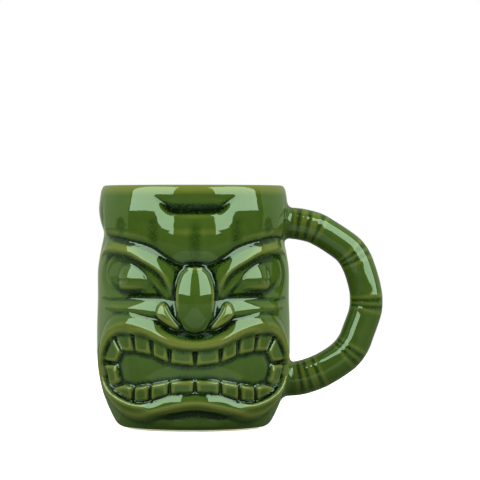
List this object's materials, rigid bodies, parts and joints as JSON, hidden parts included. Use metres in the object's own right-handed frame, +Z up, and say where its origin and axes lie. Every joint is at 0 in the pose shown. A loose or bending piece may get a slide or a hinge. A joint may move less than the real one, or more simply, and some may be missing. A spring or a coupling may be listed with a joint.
{
  "type": "tiki mug",
  "caption": "Slip-cast glazed stoneware mug with a carved tiki face on the front wall, a fluted headband and a bamboo-shaped loop handle at the side.",
  "frame": {"origin": "centre of the foot ring's standing face, on the cup's axis", "axes": "+Z up along the cup's axis, -Y towards the viewer of the face, +X towards the handle"},
  "size_m": [0.1424, 0.1018, 0.12],
  "materials": {
    "green_glaze": "glossy translucent olive-green glaze, darker where it pools in the carving and yellower on the ridges",
    "bare_clay": "unglazed fired stoneware, matt and slightly gritty"
  },
  "bodies": {
    "root": {"cup": "green_glaze", "foot_ring": "bare_clay", "handle": "green_glaze", "upper_handle_joint": "green_glaze", "lower_handle_joint": "green_glaze"}
  },
  "joints": []
}
